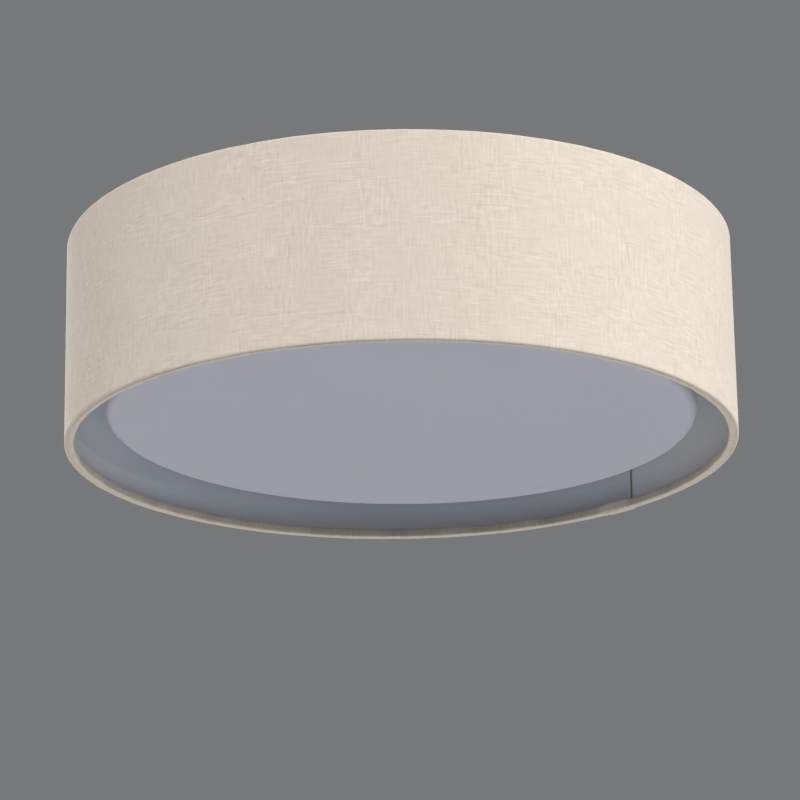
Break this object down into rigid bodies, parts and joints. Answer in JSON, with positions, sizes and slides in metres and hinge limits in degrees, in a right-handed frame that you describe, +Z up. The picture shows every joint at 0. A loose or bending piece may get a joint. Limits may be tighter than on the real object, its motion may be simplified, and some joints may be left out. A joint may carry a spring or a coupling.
{
  "type": "flush mount ceiling light",
  "caption": "Flush ceiling light: a linen drum shade on wire rings hangs round a recessed opal drum diffuser, with light bars and driver on a ceiling pan.",
  "frame": {"origin": "centre of the mounting strap's top face, in the ceiling plane, on the drum's centre line", "axes": "+Z up into the ceiling, +X along the mounting strap, +Y away from the viewer"},
  "size_m": [0.4064, 0.4064, 0.1275],
  "materials": {
    "linen": "natural undyed linen, slubbed plain weave",
    "styrene_liner": "white styrene film",
    "ring_wire": "white powder coat",
    "nickel_screw": "satin nickel, knurled",
    "washer_nylon": "natural nylon",
    "white_paint": "white powder coat",
    "brass_bush": "plain turned",
    "opal_acrylic": "opal acrylic with a satin surface",
    "spring_steel": "plain spring temper",
    "rivet_aluminium": "plain",
    "zinc_steel": "bright zinc plate",
    "nickel_nut": "satin nickel, knurled",
    "ground_green": "green dye over zinc",
    "bar_board": "white solder mask on aluminium",
    "phosphor": "yellow phosphor in a white frame",
    "socket_nylon": "natural nylon",
    "link_wire": "white insulation",
    "grommet_rubber": "black",
    "driver_plastic": "white flame-retardant plastic",
    "board_green": "green solder mask",
    "transformer_tape": "yellow tape over ferrite",
    "capacitor_black": "black sleeve",
    "block_nylon": "natural nylon",
    "clamp_brass": "plain",
    "earth_terminal": "tinned",
    "wire_earth": "green insulation",
    "wire_live": "black insulation",
    "wire_neutral": "white insulation",
    "wire_positive": "red insulation",
    "clip_nylon": "natural nylon"
  },
  "bodies": {
    "fixture": {"ceiling_pan": "white_paint", "shade_bracket_1": "white_paint", "shade_bracket_2": "white_paint", "shade_bracket_3": "white_paint", "bracket_bushes": "brass_bush", "diffuser_clip_1": "spring_steel", "diffuser_clip_2": "spring_steel", "diffuser_clip_3": "spring_steel", "clip_rivets": "rivet_aluminium", "mounting_strap": "zinc_steel", "strap_studs": "zinc_steel", "strap_lock_nuts": "zinc_steel", "earth_stud": "zinc_steel", "earth_nut": "zinc_steel", "light_bar_screws": "zinc_steel", "driver_screws": "zinc_steel", "terminal_block_screws": "zinc_steel", "terminal_screws": "zinc_steel", "pan_cap_nuts": "nickel_nut", "ground_screw": "ground_green", "light_bar_1": "bar_board", "light_bar_2": "bar_board", "light_bar_3": "bar_board", "light_bar_4": "bar_board", "light_chips": "phosphor", "light_bar_sockets": "socket_nylon", "driver_wire_blocks": "socket_nylon", "light_bar_links": "link_wire", "feed_grommet": "grommet_rubber", "driver_base": "driver_plastic", "driver_cover": "driver_plastic", "driver_board": "board_green", "driver_transformer": "transformer_tape", "driver_capacitors": "capacitor_black", "terminal_block": "block_nylon", "terminal_clamps": "clamp_brass", "earth_ring_terminal": "earth_terminal", "earth_lead": "wire_earth", "live_lead": "wire_live", "feed_lead_negative": "wire_live", "neutral_lead": "wire_neutral", "feed_lead_positive": "wire_positive", "lead_clips": "clip_nylon"},
    "diffuser_drum": {"diffuser": "opal_acrylic"},
    "shade": {"shade_fabric": "linen", "shade_liner": "styrene_liner", "shade_top_ring": "ring_wire", "shade_bottom_ring": "ring_wire", "shade_lug_1": "ring_wire", "shade_lug_2": "ring_wire", "shade_lug_3": "ring_wire"},
    "washer_1": {"thumb_washer_1": "washer_nylon"},
    "screw_1": {"thumb_screw_1": "nickel_screw"},
    "washer_2": {"thumb_washer_2": "washer_nylon"},
    "screw_2": {"thumb_screw_2": "nickel_screw"},
    "washer_3": {"thumb_washer_3": "washer_nylon"},
    "screw_3": {"thumb_screw_3": "nickel_screw"}
  },
  "joints": [
    {"name": "diffuser_drop", "type": "slide", "parent": "fixture", "child": "diffuser_drum", "axis": [0, 0, -1], "range_m": [0, 0.13], "deforming": ["diffuser_clip_1", "diffuser_clip_2", "diffuser_clip_3"]},
    {"name": "shade_drop", "type": "slide", "parent": "fixture", "child": "shade", "axis": [0, 0, -1], "range_m": [0, 0.135]},
    {"name": "thumb_screw_1_back_off", "type": "slide", "parent": "shade", "child": "washer_1", "axis": [0, 0, -1], "range_m": [0, 0.0032]},
    {"name": "thumb_screw_1_turn", "type": "hinge", "parent": "washer_1", "child": "screw_1", "pos_m": [0, 0.189, -0.012], "axis": [0, 0, -1], "range_deg": [0, 1645]},
    {"name": "thumb_screw_2_back_off", "type": "slide", "parent": "shade", "child": "washer_2", "axis": [0, 0, -1], "range_m": [0, 0.0032]},
    {"name": "thumb_screw_2_turn", "type": "hinge", "parent": "washer_2", "child": "screw_2", "pos_m": [-0.16368, -0.0945, -0.012], "axis": [0, 0, -1], "range_deg": [0, 1645]},
    {"name": "thumb_screw_3_back_off", "type": "slide", "parent": "shade", "child": "washer_3", "axis": [0, 0, -1], "range_m": [0, 0.0032]},
    {"name": "thumb_screw_3_turn", "type": "hinge", "parent": "washer_3", "child": "screw_3", "pos_m": [0.16368, -0.0945, -0.012], "axis": [0, 0, -1], "range_deg": [0, 1645]}
  ],
  "couplings": [
    {"joint": "thumb_screw_1_back_off", "follows": "thumb_screw_1_turn", "m_per_rad": 0.00011141},
    {"joint": "thumb_screw_2_back_off", "follows": "thumb_screw_2_turn", "m_per_rad": 0.00011141},
    {"joint": "thumb_screw_3_back_off", "follows": "thumb_screw_3_turn", "m_per_rad": 0.00011141}
  ]
}
